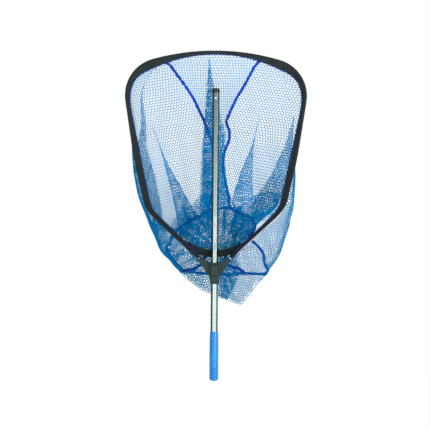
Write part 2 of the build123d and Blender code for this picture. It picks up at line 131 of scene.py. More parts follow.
# A level section has stations from its rim to its back on each side. Each is a share of the way from
# the rim to the side and from the front to the side's depth, or from the side to the shoulder and
# from the side's depth to the back. SIDE_STATION is the widest
RIM_TO_SIDE = ((0.0, 0.0), (0.65, 0.3), (1.0, 1.0))
SIDE_TO_BACK = (0.25, 0.7)
RIM_STATIONS = 5
SIDE_STATION = 2
SIDE_DEPTH = 0.45
SHOULDER_SHARE = 0.3
SHOULDER_LIFT = 2.0

# A fold opens by FOLD_GAP where it is FOLD_FULL wide or more, a share of it in front of the back and
# a share behind. The others are the least width left of it and the x behind the middle fold
FOLD_GAP = 5.0
FOLD_FULL = 20.0
FOLD_FRONT = 0.3
FOLD_BACK = 0.7
FOLD_MARGIN = 6.0
MIDDLE_BACK = 12.0

# The band of hem that sags behind the handle: the height below which the netting starts from it, how
# far the netting is tucked into it, how far its ends rise and its width
BRIDGE_TOP = 345.0
BRIDGE_TUCK = 10.0
BRIDGE_RISE = 28.0
BRIDGE_WIDE = 22.0

# Further than any point of the net
FAR = 900.0

# Netting: six-sided meshes of twisted cord
MESH_WIDE = 9.2
CORD_EDGE = MESH_WIDE / math.sqrt(3)
CORD_SIDE = 1.3
CORD_OVERLAP = 0.35

# Half the lattice's columns and rows, and the height of its middle row
LATTICE_COLUMNS = 220
LATTICE_ROWS = 150
LATTICE_MIDDLE = 560.0

# Spare netting that lies in front of the back, as outlines in x and z
SPARE_CENTRE = ((-24, 930), (-18, 930), (-12, 760), (6, 610), (8, 430), (-50, 430), (-45, 600),
                (-36, 740))
SPARE_RIGHT = ((10, 770), (30, 700), (30, 610), (38, 530), (66, 465), (118, 436), (128, 400),
               (96, 366), (60, 340), (8, 330))
SPARE_LEFT = ((-10, 560), (-10, 330), (-60, 342), (-104, 372), (-140, 412), (-118, 448), (-72, 474),
              (-44, 505))
SPARE_OUTER = ((-104, 384), (-96, 322), (-128, 290), (-170, 330), (-205, 398), (-196, 440),
               (-150, 410))
SPARE_SIDE = ((118, 505), (175, 520), (232, 500), (214, 462), (165, 425), (120, 425))
SPARE_YOKE = ((-100, 352), (100, 352), (72, 306), (24, 276), (-24, 276), (-72, 306))
SPARE_LOW = ((14, 306), (74, 300), (84, 262), (60, 214), (38, 160), (16, 158))
SPARE_LOW_LEFT = ((-24, 306), (-108, 330), (-136, 306), (-110, 240), (-60, 205), (-24, 195))
SPARE_COLUMN = ((10, 730), (28, 690), (27, 600), (34, 520), (46, 465), (10, 465))

# Gathers: middle x and z, half width, half height, strength
GATHERS = (
    (-70, 405, 80, 60, 1.0),
    (40, 420, 70, 75, 1.0),
    (60, 370, 60, 60, 0.9),
    (-130, 335, 55, 65, 0.8),
    (-60, 300, 50, 45, 0.8),
    (42, 225, 26, 60, 0.8),
    (150, 470, 75, 45, 0.7),
)

# Where the gathers are drawn towards, how many creases run round that point, how far they move the
# cords across, along and in depth, and the loose waves' reach across and in depth
DRAWN_X = 6.0
DRAWN_Z = 318.0
CREASES = 21
CREASE_ACROSS = 3.6
CREASE_ALONG = 2.4
CREASE_DEEP = 4.5
LOOSE_ACROSS = 1.2
LOOSE_DEEP = 2.2
LOOSE_FROM = 960.0
LOOSE_OVER = 300.0

# The phase of the waves in the bag's back and in its front. Spare layers take their gap instead
BACK_PHASE = 0.0
FRONT_PHASE = 2.0

# The space behind the handle that the netting stays out of: half width, top and depth
CLEAR_HALF = 24.0
CLEAR_HIGH = 352.0
CLEAR_DEEP = 16.2

# Joins of the panels, in x and z: the top of the bottom panel, its whole outline, the lines above or
# below which the panels' layers end, and the seam tapes from their tops down
FLOOR_TOP = [(-117, 400), (-80, 425), (-40, 440), (-20, 455), (20, 462), (56, 462), (71, 452),
             (93, 442), (111, 439), (125, 420)]
FLOOR_OUTLINE = [
    *FLOOR_TOP[4:], (129, 400), (116, 380), (109, 365), (125, 357), (141, 338), (157, 317),
    (157, 290), (171, 268), (170, 254), (141, 254), (99, 256), (60, 254), (0, 252), (-60, 257),
    (-102, 263), (-142, 308), (-156, 332), (-142, 362), *FLOOR_TOP[:4],
]
SEAM_LINE = [(-400, 400), *FLOOR_TOP, (135, 405), (400, 405)]
DROOP_LINE = [(-400, 395), (-140, 390), (-100, 350), (-40, 328), (40, 328), (100, 350), (128, 390),
              (400, 400)]
LOWER_LINE = [(-300, 263), (-102, 263), (-65, 273), (-34, 292), (-24, 312), (24, 312), (46, 281),
              (80, 272), (99, 257), (300, 254)]
TAPE_UPPER_LEFT = [(-162, 920), (-146, 912), (-101, 853), (-69, 805), (-37, 741), (-26, 709),
                   (-12, 678), (-4, 600), (-6, 520), (-20, 456)]
TAPE_UPPER_RIGHT = [(139, 928), (121, 909), (100, 868), (69, 816), (43, 763), (32, 737), (43, 706),
                    (43, 678), (30, 646), (25, 604), (31, 561), (39, 524), (47, 481), (56, 462)]
TAPE_LOWER_LEFT = [(-30, 318), (-34, 292), (-65, 273), (-101, 263)]
TAPE_LOWER_RIGHT = [(30, 318), (46, 281), (80, 272), (99, 257)]

# Heights: the upper cloth's lower end, the top of the bag's front below the hoop, the bottom panel's
# lower seam, how far the yoke panel laps over it, and the top of the doubled cords at the bag's edges
DROOP_LOW = 318.0
FRONT_HIGH = 330.0
FLOOR_LOW = 256.0
FLOOR_OVERLAP = 6.0
EDGE_HIGH = 420.0

# How far the netting reaches under the hem, and the end panel's width as it is laid
HEM_COVER = 5.0
END_WIDE = 300.0

# Netting drawn together: middle (from LATTICE_MIDDLE for heights), half width, extra width
BOTTOM_BUNCH = ((-150, 45, 90),)
LEFT_BUNCH = ((10, 40, 45),)
FLOOR_BUNCH = ((-60, 40, 70), (45, 25, 50))
FRONT_BUNCH = ((36, 45, 60), (-70, 30, 35))
LOW_BUNCH = ((36, 45, 40),)

# Left and right panels that get fuller below a height: the share of extra netting at the most, the
# height, how far down it grows, and each panel's middle
FULL_EXTRA = 0.55
FULL_BELOW = 720.0
FULL_OVER = 260.0
FULL_MIDDLE_LEFT = -190.0
FULL_MIDDLE_RIGHT = 90.0

# Seam tapes: their folded section as shares of half the width and of the depth, how far they stand off
# the netting, and half their width
TAPE_SECTION = ((1, -1), (0.3, -1.15), (-0.5, -1.1), (-1, -0.7), (-1.05, 0), (-1, 0.7), (-0.5, 1.1),
                (0.3, 1.15), (1, 1))
TAPE_LIFT = 1.6
TAPE_HALF = 4.1

# Hem, found by casting rays from a point inside the hoop. The rays nearest the yoke are dropped
# (HEM_FRAYED), and its ends are tucked into the yoke's arms along the hoop, in the direction that the
# last TUCK_AIM points show. HEM_INSET comes off the flap's reach.
HUB = (0.0, 0.0, 620.0)
HEM_TURN = math.radians(169.0)
HEM_RAYS = 1400
HEM_STEP = 3.5
HEM_RADIUS = 5.7
HEM_THICK = 0.55
HEM_INSET = 1.6
HEM_TUCK = 26.0
HEM_FRAYED = 8
TUCK_AIM = 30

# The flap inside the sleeve: its least reach, where it leaves the sleeve, the shares of its reach
# that its section is drawn at, half its thickness at its edge and how much thicker it gets
FLAP_LEAST = 1.5
FLAP_FOOT = HEM_RADIUS * 0.9
FLAP_SHARES = (1.0, 0.93, 0.6, 0.3)
FLAP_HALF = 0.75
FLAP_SWELL = 0.9

# Where the hem has slipped and shows the hoop: how far round, beyond which x and below which height
BARE_TURN = math.radians(64)
BARE_BEYOND = 60.0
BARE_BELOW = 470.0

# Stitches along the flap's edge: the hem's steps without any at each end, how far out from the edge
# and in from it each one reaches, its lift off the flap's middle there, and the thread's side
STITCH_MARGIN = 4
STITCH_OUT = 1.0
STITCH_IN = 3.2
STITCH_EDGE_LIFT = 1.0
STITCH_FOOT_LIFT = 1.75
STITCH_SIDE = 0.7

# The band behind the handle: how far inside the CAD's depth it lies, its depth at its ends, half its
# straight middle, and how steeply it comes forwards
BAND_INSET = 0.8
BAND_ENDS = 7.5
BAND_MIDDLE = 26.0
BAND_BEND = 1.3

# On the label: the heights of each mark's ends, and its share of the label's width
RED_MARK = (406, 415, 0.55)
BLUE_MARK = (332, 354, 0.45)
MARK_LIFT = 0.1

# The painted shade in the gap round the button, a dark sheet on the yoke: how far out it starts and
# ends, and its height off the yoke
SHADE_GAP_INNER = 0.5
SHADE_GAP_OUTER = 1.8
SHADE_GAP_LIFT = 0.12


def smooth(values, blur):
    """A row of values averaged over their neighbours, with the ends held."""
    reach = min(max(1, int(3 * blur)), len(values) - 1)
    weights = np.exp(-0.5 * (np.arange(-reach, reach + 1) / blur) ** 2)
    before = 2 * values[0] - values[reach:0:-1]
    after = 2 * values[-1] - values[-2:-reach - 2:-1]
    padded = np.concatenate([before, values, after])
    return np.convolve(padded, weights / weights.sum(), "valid")


def along(levels, points, blur=15.0):
    """A value at each level, through (height, value) points, with the corners blurred."""
    heights, values = zip(*sorted(points))
    return smooth(np.interp(levels, heights, values), blur / LEVEL_STEP)


def node_tree(*names):
    """A tree for casting rays at some CAD nodes."""
    vertices, faces = [], []
    for name in names:
        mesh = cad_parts[name].data
        first = len(vertices)
        vertices += [v.co.copy() for v in mesh.vertices]
        faces += [[first + v for v in p.vertices] for p in mesh.polygons]
    return BVHTree.FromPolygons(vertices, faces)


def hit(tree, start, direction):
    """The first point that a ray meets, in millimetres, or None."""
    found = tree.ray_cast(Vector(start) * MM, Vector(direction))[0]
    return None if found is None else found / MM


def span(tree, height):
    """How far left and right of the handle a level is free before it meets some CAD nodes."""
    reach = []
    for side in (-1, 1):
        found = hit(tree, (0, 0, height), (side, 0, 0))
        reach.append(None if found is None else abs(found.x))
    return reach


def unit(rows):
    """Rows of vectors, each made one long."""
    return rows / np.linalg.norm(rows, axis=1, keepdims=True)


def face_on(name):
    """The middle and half the size of a CAD node, across and up, in millimetres."""
    low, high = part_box(name)
    middle = ((low.x + high.x) / 2 / MM, (low.z + high.z) / 2 / MM)
    half = ((high.x - low.x) / 2 / MM, (high.z - low.z) / 2 / MM)
    return middle, half


def piece(name, vertices, faces, material, slot, body="hoop", smooth_shade=False):
    """A mesh piece from points in millimetres, riding on a body."""
    mesh = bpy.data.meshes.new(name)
    vertices = np.asarray(vertices, dtype=np.float32) * MM
    faces = np.asarray(faces, dtype=np.int32)
    corners = faces.shape[1]
    mesh.vertices.add(len(vertices))
    mesh.vertices.foreach_set("co", vertices.ravel())
    mesh.loops.add(faces.size)
    mesh.loops.foreach_set("vertex_index", faces.ravel())
    mesh.polygons.add(len(faces))
    mesh.polygons.foreach_set("loop_start", np.arange(0, faces.size, corners, dtype=np.int32))
    mesh.polygons.foreach_set("use_smooth", np.full(len(faces), smooth_shade))
    mesh.update(calc_edges=True)
    mesh.validate()
    mesh.materials.append(material)
    obj = bpy.data.objects.new(name, mesh)
    bpy.context.scene.collection.objects.link(obj)
    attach(obj, body)
    return obj


# ---------------------------------------------------------------- shader nodes, camera, light and floor

def fill(tree, made, inputs):
    """Values for a shader node's inputs, or links from other nodes' outputs."""
    for name, value in inputs.items():
        if isinstance(value, bpy.types.NodeSocket):
            tree.links.new(value, made.inputs[name])
        else:
            made.inputs[name].default_value = value


def node(tree, kind, inputs):
    """A new shader node with its inputs filled."""
    made = tree.nodes.new("ShaderNode" + kind)
    fill(tree, made, inputs)
    return made


def map_range(tree, value, low, high, to_low, to_high):
    """A value moved from one range to another."""
    ends = {"From Min": low, "From Max": high, "To Min": to_low, "To Max": to_high}
    return node(tree, "MapRange", {"Value": value, **ends}).outputs["Result"]


def ramp(tree, value, stops):
    """A colour for a value, between (position, colour) stops."""
    made = node(tree, "ValToRGB", {"Fac": value})
    elements = made.color_ramp.elements
    while len(elements) < len(stops):
        elements.new(0.5)
    for element, (position, colour) in zip(elements, stops):
        element.position = position
        element.color = (*colour, 1)
    return made.outputs["Color"]


def make_camera():
    """A camera straight in front of the hoop."""
    data = bpy.data.cameras.new("camera")
    data.sensor_width = SENSOR
    data.lens = SENSOR * CAMERA_AWAY / CAMERA_FIELD
    camera = bpy.data.objects.new("camera", data)
    bpy.context.scene.collection.objects.link(camera)
    camera.location = (0, -CAMERA_AWAY, CAMERA_HEIGHT)
    camera.rotation_euler = (math.pi / 2, CAMERA_ROLL, 0)
    bpy.context.scene.camera = camera


def area_light(name, place, target, size, power):
    """A soft rectangular light that faces a point."""
    data = bpy.data.lights.new(name, "AREA")
    data.shape = "RECTANGLE"
    data.size, data.size_y = size
    data.energy = power
    light = bpy.data.objects.new(name, data)
    bpy.context.scene.collection.objects.link(light)
    light.location = place
    aim = Vector(target) - Vector(place)
    light.rotation_euler = aim.to_track_quat("-Z", "Y").to_euler()


def make_world():
    """A white studio that the camera sees as plain white. Its light is dim behind the camera and to
    the sides, and bright below the horizon there."""
    world = bpy.data.worlds.new("studio")
    bpy.context.scene.world = world
    world.use_nodes = True
    tree = world.node_tree
    tree.nodes.clear()
    place = node(tree, "TexCoord", {})
    split = node(tree, "SeparateXYZ", {0: place.outputs["Generated"]})
    near = map_range(tree, split.outputs["Z"], *NEAR_HORIZON, NEAR_FLOOR_LIGHT, NEAR_SKY_LIGHT)
    strength = map_range(tree, split.outputs["Y"], *NEAR_TO_FAR, near, FAR_LIGHT)
    across = map_range(tree, split.outputs["X"], -1.0, 1.0, 0.0, 1.0)
    sides = ramp(tree, across, [(at, (grey, grey, grey)) for at, grey in SIDE_LIGHTS])
    lit = node(tree, "Background", {"Color": sides, "Strength": strength})
    seen = node(tree, "Background", {"Color": (1, 1, 1, 1)})
    camera_ray = node(tree, "LightPath", {}).outputs["Is Camera Ray"]
    either = node(tree, "MixShader", {"Fac": camera_ray, 1: lit.outputs[0], 2: seen.outputs[0]})
    node(tree, "OutputWorld", {"Surface": either.outputs[0]})


def make_floor():
    """A pale floor that glows, so that it looks as white as the studio."""
    mesh = bpy.data.meshes.new("floor")
    corners = [(x * FLOOR_REACH, y * FLOOR_REACH, FLOOR_HEIGHT) for x, y in SQUARE]
    mesh.from_pydata(corners, [], [(0, 1, 2, 3)])
    material = bpy.data.materials.new("pale_floor")
    material.use_nodes = True
    tree = material.node_tree
    fill(tree, tree.nodes["Principled BSDF"], {
        "Base Color": (FLOOR_BASE, FLOOR_BASE, FLOOR_BASE, 1),
        "Roughness": 1.0,
        "Specular IOR Level": 0.0,
        "Emission Color": (1, 1, 1, 1),
        "Emission Strength": FLOOR_GLOW,
    })
    mesh.materials.append(material)
    floor = bpy.data.objects.new("floor", mesh)
    bpy.context.scene.collection.objects.link(floor)


def make_studio():
    """A pale floor under soft lights, in a white studio."""
    bpy.context.scene.view_settings.view_transform = "Standard"
    make_world()
    for name, place, target, size, power in LIGHTS:
        area_light(name, place, target, size, power)
    make_floor()


# ---------------------------------------------------------------- materials

def shade(name, dark, light, rough, scale, bump_mm, kind="noise", metal=0.0, coat=0.0, sheen=0.0,
          specular=0.5, rough_spread=0.08, see_through=0.0, tint=(1, 1, 1)):
    """A material that varies between two colours over a grain, with matching roughness and bump. The
    scale is how many grains there are in a metre, along each axis or the same along all."""
    material = bpy.data.materials.new(name)
    material.use_nodes = True
    tree = material.node_tree
    place = node(tree, "TexCoord", {}).outputs["Object"]
    scales = scale if isinstance(scale, tuple) else (scale, scale, scale)
    stretched = node(tree, "Mapping", {"Vector": place, "Scale": scales}).outputs[0]
    grain = {"Vector": stretched, "Scale": 1.0}
    if kind == "weave":
        field = node(tree, "TexWave", {**grain, "Distortion": 1.2})
        field.wave_type = "BANDS"
        field.bands_direction = "DIAGONAL"
    else:
        field = node(tree, "TexNoise", {**grain, "Detail": 5.0, "Roughness": 0.6})
    value = field.outputs[0]
    broad = node(tree, "TexNoise", {"Vector": place, "Scale": BROAD_SCALE, "Detail": 3.0}).outputs[0]
    mixed = node(tree, "Mix", {"Factor": GRAIN_SHARE, "A": broad, "B": value}).outputs[0]
    bump = node(tree, "Bump", {"Strength": 0.6, "Distance": bump_mm * MM, "Height": value})
    shader = tree.nodes["Principled BSDF"]
    fill(tree, shader, {
        "Base Color": ramp(tree, mixed, ((0.3, dark), (0.7, light))),
        "Roughness": map_range(tree, value, 0.0, 1.0, rough - rough_spread, rough + rough_spread),
        "Normal": bump.outputs["Normal"],
        "Metallic": metal,
        "Coat Weight": coat,
        "Sheen Weight": sheen,
        "Specular IOR Level": specular,
    })
    if see_through:
        clear = node(tree, "BsdfTransparent", {"Color": (*tint, 1)})
        both = node(tree, "MixShader", {"Fac": see_through, 1: shader.outputs[0], 2: clear.outputs[0]})
        fill(tree, tree.nodes["Material Output"], {"Surface": both.outputs[0]})
    return material


# ---------------------------------------------------------------- the bag's surface

class Cloth:
    """A surface given by sections at levels, with a flat coordinate across and the height down."""

    STEP = 2.0

    def __init__(self, levels, x, y, origin):
        """x and y hold each level's stations, and origin is the station at flat coordinate 0, or None
        where the flat coordinate is x itself."""
        self.levels = levels
        self.across = np.arange(-FAR, FAR + self.STEP, self.STEP)
        self.x = np.full((len(levels), len(self.across)), np.nan)
        self.y = self.x.copy()
        self.part = self.x.copy()
        station = np.arange(x.shape[1])
        for n in range(len(levels)):
            steps = np.hypot(np.diff(x[n]), np.diff(y[n]))
            flat = np.concatenate([[0], np.cumsum(np.maximum(steps, 1e-6))])
            count = max(8, int(flat[-1]))
            even = np.linspace(0, flat[-1], count)
            px = smooth(np.interp(even, flat, x[n]), 3.0)
            py = smooth(np.interp(even, flat, y[n]), 3.0)
            part = np.interp(even, flat, station)
            flat_even = px if origin is None else even - flat[origin]
            inside = (self.across >= flat_even[0]) & (self.across <= flat_even[-1])
            for grid, values in ((self.x, px), (self.y, py), (self.part, part)):
                grid[n, inside] = np.interp(self.across[inside], flat_even, values)

    def at(self, flat, height):
        """Points (x, y, z) and stations for flat coordinates and heights; NaN off the surface."""
        i = (height - self.levels[0]) / (self.levels[1] - self.levels[0])
        j = (flat - self.across[0]) / self.STEP
        i0 = np.clip(np.floor(i).astype(int), 0, len(self.levels) - 2)
        j0 = np.clip(np.floor(j).astype(int), 0, len(self.across) - 2)
        fi, fj = i - i0, j - j0
        off = (fi < 0) | (fi > 1) | (fj < 0) | (fj > 1)
        found = []
        for grid in (self.x, self.y, self.part):
            low = grid[i0, j0] * (1 - fj) + grid[i0, j0 + 1] * fj
            high = grid[i0 + 1, j0] * (1 - fj) + grid[i0 + 1, j0 + 1] * fj
            value = low * (1 - fi) + high * fi
            value[off] = np.nan
            found.append(value)
        x, y, part = found
        return np.stack([x, y, height], axis=-1), part


def crumple(points, phase):
    """Points moved by the bag's gathers and its slow waves."""
    x, z = points[:, 0], points[:, 2]
    gathered = np.zeros(len(points))
    for cx, cz, half_wide, half_high, strength in GATHERS:
        spread = ((x - cx) / half_wide) ** 2 + ((z - cz) / half_high) ** 2
        gathered = np.maximum(gathered, strength * np.exp(-spread))
    spoke = np.arctan2(z - DRAWN_Z, x - DRAWN_X)
    away = np.hypot(z - DRAWN_Z, x - DRAWN_X)
    wave = CREASES * spoke + 1.6 * np.sin(0.035 * away + phase) + 0.9 * np.sin(0.05 * x + 2 * phase)
    rise = 0.11 * away + 1.8 * np.sin(3.0 * spoke + 2 * phase)
    slack = np.clip((LOOSE_FROM - z) / LOOSE_OVER, 0, 1)
    moved = points.copy()
    bunch = gathered * CREASE_ACROSS * np.sin(wave)
    slide = gathered * CREASE_ALONG * np.sin(rise)
    moved[:, 0] += slide * np.cos(spoke) - bunch * np.sin(spoke)
    moved[:, 2] += slide * np.sin(spoke) + bunch * np.cos(spoke)
    moved[:, 0] += slack * LOOSE_ACROSS * np.sin(0.11 * x + 0.013 * z + phase)
    swing = gathered * CREASE_DEEP * np.cos(wave + 0.5 * rise)
    moved[:, 1] += swing + slack * LOOSE_DEEP * np.sin(0.075 * x + 0.01 * z + phase)
    behind_handle = (np.abs(x) < CLEAR_HALF) & (z < CLEAR_HIGH)
    moved[:, 1] = np.where(behind_handle, np.maximum(moved[:, 1], CLEAR_DEEP), moved[:, 1])
    return moved


def rim_lines(levels):
    """Where the netting starts at each level, left and right of the handle, behind the hem."""
    tree = node_tree("net_hem")
    bridge_low, bridge_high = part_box("hem_bridge")
    half = bridge_high.x / MM
    middle = bridge_low.z / MM + BRIDGE_TUCK
    left, right = [], []
    for height in levels:
        reach = span(tree, height)
        open_half = 0.0
        if height > middle:
            open_half = half * math.sqrt((height - middle) / BRIDGE_RISE)
        for side, line in ((0, left), (1, right)):
            hem = 0.0 if reach[side] is None else reach[side] - 1.0
            line.append(min(hem, open_half) if height < BRIDGE_TOP else hem)
    return np.array(left), np.array(right)


def held_wide(levels, rim):
    """A rim line that stays as wide as it is at TOP_WIDE from there upwards."""
    top = np.interp(TOP_WIDE, levels, rim)
    return np.where(levels > TOP_WIDE, top, rim)


def bag_sections(levels, folded):
    """Stations round the bag at each level, from its left rim by its back to its right rim, and the
    outermost creases of its folds."""
    left, right = (held_wide(levels, rim) for rim in rim_lines(levels))
    back, front = along(levels, BACK_DEPTH, DEPTH_BLUR), along(levels, FRONT_DEPTH, DEPTH_BLUR)
    beside_hoop = levels > BRIDGE_TOP
    far_left = -np.maximum(along(levels, LEFT_SIDE), np.where(beside_hoop, left + RIM_GAP, -FAR))
    far_right = np.maximum(along(levels, RIGHT_SIDE), np.where(beside_hoop, right + RIM_GAP, -FAR))
    side = front + SIDE_DEPTH * (back - front)
    widest = np.minimum(SHOULDER, SHOULDER_SHARE * (far_right - far_left))
    outermost_crease = along(levels, FOLDS[-1][1], CREASE_BLUR)
    beside_fold = np.clip(far_right - outermost_crease, SHOULDER_LEAST, SHOULDER)
    narrowed = smooth(np.where(levels > FOLD_APEX, SHOULDER, beside_fold), 6.0)
    shoulders = {-1: widest, 1: np.minimum(widest, narrowed)}

    def edge(rim, far, sign):
        """The stations from a rim to the back, on the left (-1) or the right (1)."""
        shoulder = sign * shoulders[sign]
        near = sign * rim
        steps = [(near + out * (far - near), front + deep * (side - front)) for out, deep in RIM_TO_SIDE]
        steps.append((far - SIDE_TO_BACK[0] * shoulder, side + SIDE_TO_BACK[1] * (back - side)))
        steps.append((far - shoulder, back - SHOULDER_LIFT))
        return steps

    stations = edge(left, far_left, -1)
    inner_left, shoulder_right = stations[-1][0], far_right - shoulders[1]
    creases = []
    for n, (low_side, high_side) in enumerate(FOLDS if folded else ()):
        a, b = along(levels, low_side, CREASE_BLUR), along(levels, high_side, CREASE_BLUR)
        fold = np.maximum(b - a, 0)
        b = np.clip(b, inner_left, shoulder_right)
        a = np.clip(b - fold, far_left + FOLD_MARGIN, shoulder_right)
        lay = FOLD_GAP * np.clip((b - a) / FOLD_FULL, 0, 1)
        stations += [(b, back - FOLD_FRONT * lay), (a, back + FOLD_BACK * lay)]
        creases += [b, a]
        if n == CENTRE_FOLD:
            stations.append((np.full(len(levels), MIDDLE_BACK), back + FOLD_BACK * lay))
    if not folded:
        stations.append((0.5 * (far_left + far_right), back))
    stations += edge(right, far_right, 1)[::-1]
    x, y = (np.array(values).T for values in zip(*stations))
    outermost = (creases[0], creases[-1]) if folded else None
    return x, y, outermost


# ---------------------------------------------------------------- netting

def bunched(flat, bunches):
    """Flat coordinates drawn together: each bunch takes up some extra width about its middle."""
    place = np.linspace(-FAR, FAR, 3601)
    taken = place.copy()
    for middle, half_wide, extra in bunches:
        taken += extra * 0.5 * (np.tanh((place - middle) / half_wide) - np.tanh(-middle / half_wide))
    return np.interp(flat, taken, place)


def lattice(cloth, keep, phase, turn=0.0, across_by=(), down_by=(), fit=None):
    """Cord segments of six-sided meshes over a cloth, where keep(points, stations) says so. across_by
    and down_by are bunches, and fit(flat, heights) moves the flat coordinates."""
    columns = np.arange(-LATTICE_COLUMNS, LATTICE_COLUMNS + 1)
    rows = np.arange(-LATTICE_ROWS, LATTICE_ROWS + 1)
    j, k = np.meshgrid(columns, rows, indexing="ij")
    upper = (j + k) % 2 == 0
    across = j * MESH_WIDE / 2
    down = k * 1.5 * CORD_EDGE + np.where(upper, 1, -1) * CORD_EDGE / 4
    c, s = math.cos(math.radians(turn)), math.sin(math.radians(turn))
    flat = across * c - down * s
    height = across * s + down * c
    flat = bunched(flat.ravel(), across_by)
    height = LATTICE_MIDDLE + bunched(height.ravel(), down_by)
    if fit is not None:
        flat = fit(flat, height)
    points, part = cloth.at(flat, height)
    number = np.arange(j.size).reshape(j.shape)
    slanted = np.stack([number[:-1].ravel(), number[1:].ravel()], 1)
    rising = upper[:, :-1]
    upright = np.stack([number[:, :-1][rising], number[:, 1:][rising]], 1)
    pairs = np.concatenate([slanted, upright])
    there = ~np.isnan(points[pairs]).any(axis=(1, 2))
    pairs = pairs[there]
    middle, stations = points[pairs].mean(axis=1), part[pairs].mean(axis=1)
    pairs = pairs[keep(middle, stations)]
    return crumple(points, phase)[pairs]


def cords(segments, side):
    """Open-ended four-sided cords along some segments, as vertices and faces."""
    start, end = segments[:, 0], segments[:, 1]
    run = end - start
    length = np.linalg.norm(run, axis=1, keepdims=True)
    run = run / np.maximum(length, 1e-6)
    start, end = start - run * CORD_OVERLAP, end + run * CORD_OVERLAP
    away = np.where(np.abs(run[:, 1:2]) > 0.9, [[1.0, 0.0, 0.0]], [[0.0, 1.0, 0.0]])
    across = unit(np.cross(run, away))
    deep = np.cross(run, across)
    half = side / math.sqrt(2)
    corners = [across * half, deep * half, -across * half, -deep * half]
    vertices = np.stack([end_point + c for end_point in (start, end) for c in corners], axis=1)
    faces = SLEEVE_FACES[None] + 8 * np.arange(len(segments))[:, None, None]
    return vertices.reshape(-1, 3), faces.reshape(-1, 4)


def crossing(cloth, x, z):
    """The flat coordinate and depth where a cloth's front layer crosses x at a level."""
    n = int(np.argmin(np.abs(cloth.levels - z)))
    row_x, row_y = cloth.x[n] - x, cloth.y[n]
    turns = np.flatnonzero(row_x[:-1] * row_x[1:] <= 0)
    best = min(turns, key=lambda t: row_y[t])
    share = row_x[best] / (row_x[best] - row_x[best + 1] + 1e-9)
    return cloth.across[best] + share * cloth.STEP, row_y[best]


def rounded(points, step=3.0, blur=5.0, closed=False):
    """A line of (x, z) points at even steps, with its corners blurred."""
    points = np.array(points, float)
    if closed:
        points = np.vstack([points, points[:1]])
    lengths = np.concatenate([[0], np.cumsum(np.hypot(*np.diff(points, axis=0).T))])
    even = np.linspace(0, lengths[-1], int(lengths[-1] / step) + 1)
    line = np.stack([np.interp(even, lengths, points[:, n]) for n in (0, 1)], 1)
    if closed:
        line = np.vstack([line[-20:-1], line, line[1:20]])
    line = np.stack([smooth(line[:, n], blur / step) for n in (0, 1)], 1)
    return line[19:-19] if closed else line


def grid_faces(rows, columns):
    """Four-sided faces between neighbouring points of a grid."""
    grid = np.arange(rows * columns).reshape(rows, columns)
    return np.stack([grid[:-1, :-1], grid[:-1, 1:], grid[1:, 1:], grid[1:, :-1]], -1).reshape(-1, 4)


def thicken(obj, thick, offset):
    """A thickness in millimetres for a piece that is a bare surface."""
    solid = obj.modifiers.new("thickness", "SOLIDIFY")
    solid.thickness = thick * MM
    solid.offset = offset


def binding(name, line, half_wide, material, slot, ruffle=0.8, depth=0.9, thick=0.45):
    """A folded tape along a line of points: two leaves that face forwards, joined at one edge."""
    line = np.array(line)
    count = len(line)
    n = np.arange(count)
    line[:, 1] += ruffle * np.sin(1.9 * n + 0.7 * np.sin(0.31 * n))
    run = unit(np.gradient(line, axis=0))
    across = unit(np.cross(run, [0.0, 1.0, 0.0]))
    deep = np.cross(run, across)
    wide = half_wide * (1 + 0.13 * np.sin(0.9 * n) * np.sin(0.23 * n + 1))[:, None]
    rows = np.stack([line + across * wide * a - deep * depth * b for a, b in TAPE_SECTION], axis=1)
    faces = grid_faces(count, len(TAPE_SECTION))
    obj = piece(name, rows.reshape(-1, 3), faces, material, slot, smooth_shade=True)
    thicken(obj, thick, 0.0)
    length = float(np.linalg.norm(np.diff(line, axis=0), axis=1).sum())
    return obj, length


def inside(points, outline):
    """Whether points lie inside a closed outline in X and Z."""
    x, z = points[:, 0], points[:, 2]
    within = np.zeros(len(points), bool)
    for (x0, z0), (x1, z1) in zip(outline, outline[1:] + outline[:1]):
        crosses = (z0 > z) != (z1 > z)
        with np.errstate(divide="ignore", invalid="ignore"):
            at = x0 + (z - z0) * (x1 - x0) / (z1 - z0 if z1 != z0 else 1e-9)
        within ^= crosses & (x < at)
    return within


def over(points, line):
    """How far points lie above a line of x and z."""
    x, z = zip(*line)
    return points[:, 2] - np.interp(points[:, 0], x, z)


